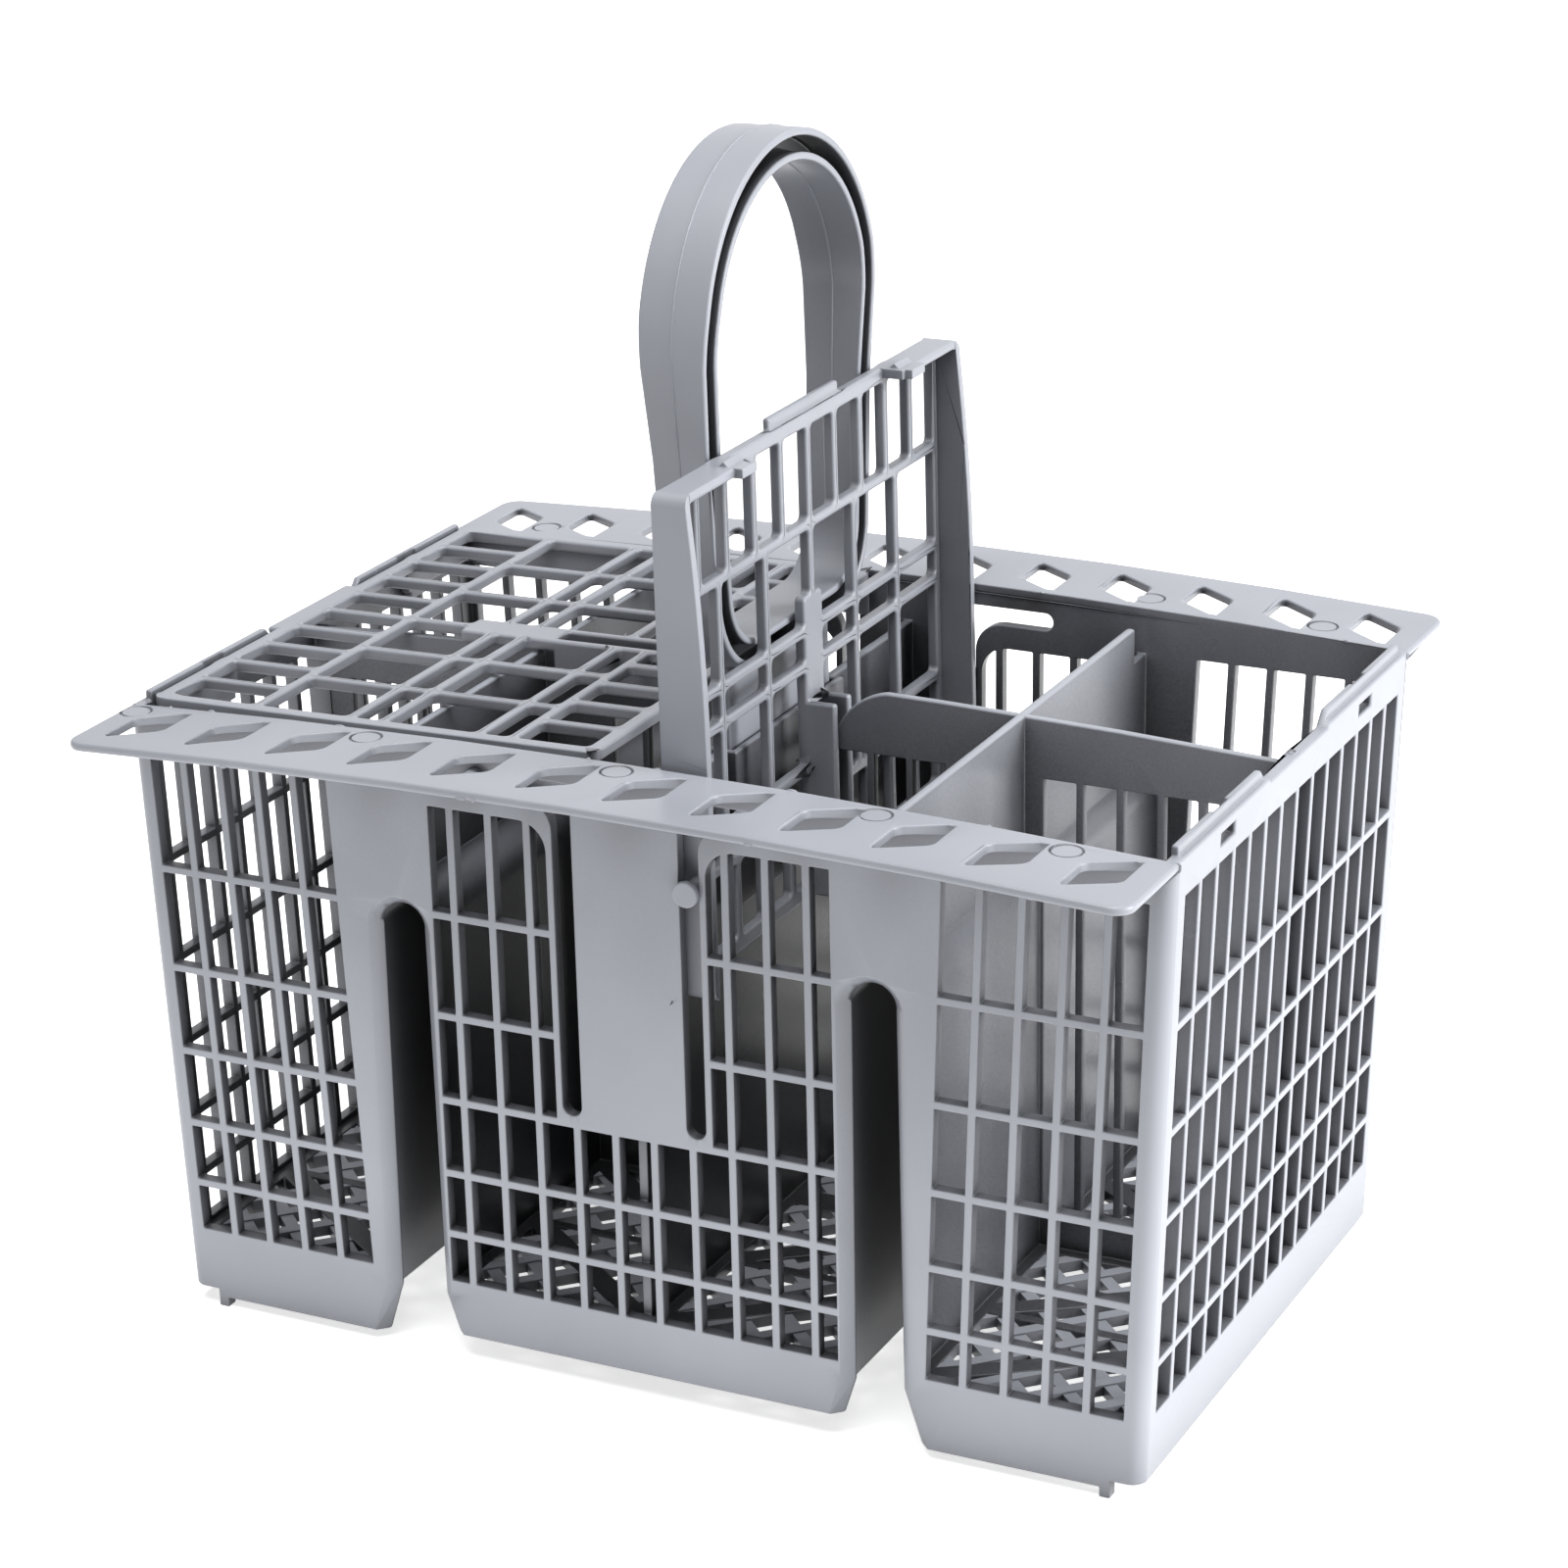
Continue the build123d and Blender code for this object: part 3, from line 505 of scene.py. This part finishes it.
def strap_seam(name, inset):
    """The fine line that the parting of the mould leaves along the middle of the strap."""
    rise = handle_spring - handle_foot
    spread = handle_half - handle_foot_half
    lean = Vector((spread, rise)).normalized()
    inward = Vector((-lean.y, lean.x)) * inset
    leg = []
    for n in range(seam_leg_steps + 1):
        share = seam_start + (1 - seam_start) * n / seam_leg_steps
        leg.append(Vector((handle_foot_half + spread * share, handle_foot + rise * share)) + inward)
    radius = handle_half - inset
    turns = [math.pi * n / seam_bow_steps for n in range(1, seam_bow_steps)]
    bow = [Vector((radius * math.cos(t), handle_spring + radius * math.sin(t))) for t in turns]
    path = leg + bow + [Vector((-point.x, point.y)) for point in reversed(leg)]
    curve = bpy.data.curves.new(name, "CURVE")
    curve.dimensions = "3D"
    curve.bevel_depth = seam_radius * MM
    curve.bevel_resolution = 1
    spline = curve.splines.new("POLY")
    spline.points.add(len(path) - 1)
    for point, (across, up) in zip(spline.points, path):
        point.co = (*(Vector((handle_shift - handle_slope * up, across, up)) * MM), 1.0)
    seam = bpy.data.objects.new(name, curve)
    bpy.context.scene.collection.objects.link(seam)
    deselect_all()
    seam.select_set(True)
    bpy.context.view_layer.objects.active = seam
    bpy.ops.object.convert(target="MESH")
    bpy.ops.object.shade_smooth()
    finish_piece(bpy.context.view_layer.objects.active, None, "basket")


def ejector_pads(places):
    """The ends of the ejector pins left a disc inside each round mark, with a fine groove about it."""
    pads = empty_piece("ejector_pads")
    for x, y in places:
        bpy.ops.mesh.primitive_cylinder_add(
            vertices=mark_sides,
            radius=(mark_radius - mark_groove) * MM,
            depth=pad_depth * MM,
            location=Vector((x, y, rim_level(x) - pad_drop)) * MM,
        )
    bpy.ops.object.mode_set(mode="OBJECT")
    bpy.ops.object.shade_smooth_by_angle(angle=pad_crease_angle)
    finish_piece(pads, None, "basket")


def mould_flash():
    """Specks of plastic that squeezed out where the halves of the mould met."""
    flash = empty_piece("mould_flash")
    for n, (x, y) in enumerate(flash_specks):
        drop = inner_speck_drop if abs(y) < flange_middle else outer_speck_drop
        bpy.ops.mesh.primitive_ico_sphere_add(
            subdivisions=2,
            radius=speck_radius * MM,
            location=Vector((x, y, rim_level(x) - drop)) * MM,
            scale=(1.0 + 0.7 * (n % 3), 0.7, 0.6 + 0.2 * (n % 2)),
        )
    bpy.ops.object.mode_set(mode="OBJECT")
    bpy.ops.object.shade_smooth()
    finish_piece(flash, None, "basket")


def rib_ends(bay, half, lean, start):
    """First and last place of a slanted rib inside its bay, or nothing where only a stub would fit."""
    left, right = bay
    near, far = half
    root = left if lean > 0 else right
    steps = [left + (right - left) * n / rib_steps for n in range(rib_steps + 1)]
    inside = [(x, start + lean * (x - root)) for x in steps if near <= start + lean * (x - root) <= far]
    return (inside[0], inside[-1]) if len(inside) >= shortest_rib else None


def floor_lattice():
    """Slanted ribs of the drain floor, finer than the solid's own holes."""
    lattice = empty_piece("floor_lattice")
    for bay, half, (lean, drop) in product(lattice_bays, lattice_halves, lattice_layers):
        width = bay[1] - bay[0]
        start = half[0] - width
        while start < half[1] + width:
            ends = rib_ends(bay, half, lean, start)
            start += lattice_pitch
            if ends:
                (x0, y0), (x1, y1) = ends
                bpy.ops.mesh.primitive_cube_add(
                    size=MM,
                    location=Vector(((x0 + x1) / 2, (y0 + y1) / 2, lattice_level - drop)) * MM,
                    rotation=(0, 0, math.atan2(y1 - y0, x1 - x0)),
                    scale=(math.hypot(x1 - x0, y1 - y0), lattice_rib, lattice_depth),
                )
    bpy.ops.object.mode_set(mode="OBJECT")
    finish_piece(lattice, None, "basket")


def seen_directly(tree):
    """One for rays from the camera, mirrored or let through, and nought for scattered light."""
    path = add_node(tree, "ShaderNodeLightPath").outputs
    plain = {"operation": "MAXIMUM", 0: path["Is Camera Ray"], 1: path["Is Glossy Ray"]}
    first = add_node(tree, "ShaderNodeMath", plain).outputs["Value"]
    through = {"operation": "MAXIMUM", 0: first, 1: path["Is Transmission Ray"]}
    return add_node(tree, "ShaderNodeMath", through).outputs["Value"]


def white_floor():
    """White matt table that keeps the shadow. Around the basket it throws light up, but not from under it."""
    deselect_all()
    bpy.ops.mesh.primitive_plane_add(size=floor_size, location=(0, 0, 0))
    ground = bpy.context.view_layer.objects.active
    ground.name = "studio_floor"
    material = new_material("white_floor")
    tree = material.node_tree
    place = add_node(tree, "ShaderNodeTexCoord").outputs["Object"]
    size = add_node(tree, "ShaderNodeVectorMath", {"operation": "ABSOLUTE", 0: place}).outputs["Vector"]
    past_basket = {"operation": "SUBTRACT", 0: size, 1: Vector((rim_half, wall_inside, 0)) * MM}
    beyond = add_node(tree, "ShaderNodeVectorMath", past_basket).outputs["Vector"]
    sides = add_node(tree, "ShaderNodeSeparateXYZ", {"Vector": beyond}).outputs
    farthest = {"operation": "MAXIMUM", 0: sides["X"], 1: sides["Y"]}
    away = add_node(tree, "ShaderNodeMath", farthest).outputs["Value"]
    levels = [(position, grey(level)) for position, level in bounce_stops]
    thrown = add_node(tree, "ShaderNodeValToRGB", {"Fac": away}, levels).outputs["Color"]
    bounce = add_node(tree, "ShaderNodeEmission", {"Strength": table_bounce, "Color": thrown}).outputs[0]
    matt = add_node(tree, "ShaderNodeBsdfDiffuse", {"Color": linear(white)}).outputs[0]
    glow = add_node(tree, "ShaderNodeEmission", {"Color": linear(white), "Strength": table_glow}).outputs[0]
    seen = add_node(tree, "ShaderNodeAddShader", {0: matt, 1: glow}).outputs[0]
    mix = add_node(tree, "ShaderNodeMixShader", {"Fac": seen_directly(tree), 1: bounce, 2: seen}).outputs[0]
    add_node(tree, "ShaderNodeOutputMaterial", {"Surface": mix})
    ground.data.materials.append(material)


def white_surround():
    """White all round to the eye, with only a little light of its own."""
    world = bpy.data.worlds.new("white_surround")
    bpy.context.scene.world = world
    world.use_nodes = True
    tree = world.node_tree
    tree.nodes.clear()
    seen = add_node(tree, "ShaderNodeBackground", {"Color": linear(white), "Strength": 1.0}).outputs[0]
    fill = add_node(tree, "ShaderNodeBackground", {"Color": linear(white), "Strength": world_fill}).outputs[0]
    mix = add_node(tree, "ShaderNodeMixShader", {"Fac": seen_directly(tree), 1: fill, 2: seen}).outputs[0]
    add_node(tree, "ShaderNodeOutputWorld", {"Surface": mix})


def soft_light(name, place, size, power):
    deselect_all()
    bpy.ops.object.light_add(type="AREA", location=place)
    lamp = bpy.context.view_layer.objects.active
    lamp.name = name
    lamp.data.size = size
    lamp.data.energy = power
    direction = Vector(lamp_aim) - Vector(place)
    lamp.rotation_euler = direction.to_track_quat("-Z", "Y").to_euler()


def photo_camera():
    forward = Vector((
        math.sin(camera_yaw) * math.cos(camera_pitch),
        math.cos(camera_yaw) * math.cos(camera_pitch),
        -math.sin(camera_pitch),
    ))
    right = Vector((math.cos(camera_yaw), -math.sin(camera_yaw), 0))
    down = forward.cross(right)
    rolled_right = math.cos(camera_roll) * right + math.sin(camera_roll) * down
    rolled_down = math.cos(camera_roll) * down - math.sin(camera_roll) * right
    turn = Matrix((rolled_right, -rolled_down, -forward)).transposed()
    deselect_all()
    bpy.ops.object.camera_add()
    camera = bpy.context.view_layer.objects.active
    camera.matrix_world = Matrix.Translation(camera_place) @ turn.to_4x4()
    camera.data.lens = camera_lens
    camera.data.sensor_width = sensor_width
    camera.data.clip_end = camera_range
    bpy.context.scene.camera = camera


grey_plastic = moulded_polypropylene("moulded_polypropylene")
mould_basket()
mould_handle()
mould_lid("left_lid", False, left_pins, left_way)
mould_lid("right_lid", True, right_pins, right_way)
strap_seam("outer_seam", 0.0)
strap_seam("inner_seam", strap_thick)
ejector_pads(ejector_marks)
mould_flash()
floor_lattice()

white_floor()
white_surround()
for softbox in softboxes:
    soft_light(*softbox)
photo_camera()
bpy.context.scene.view_settings.view_transform = "Standard"
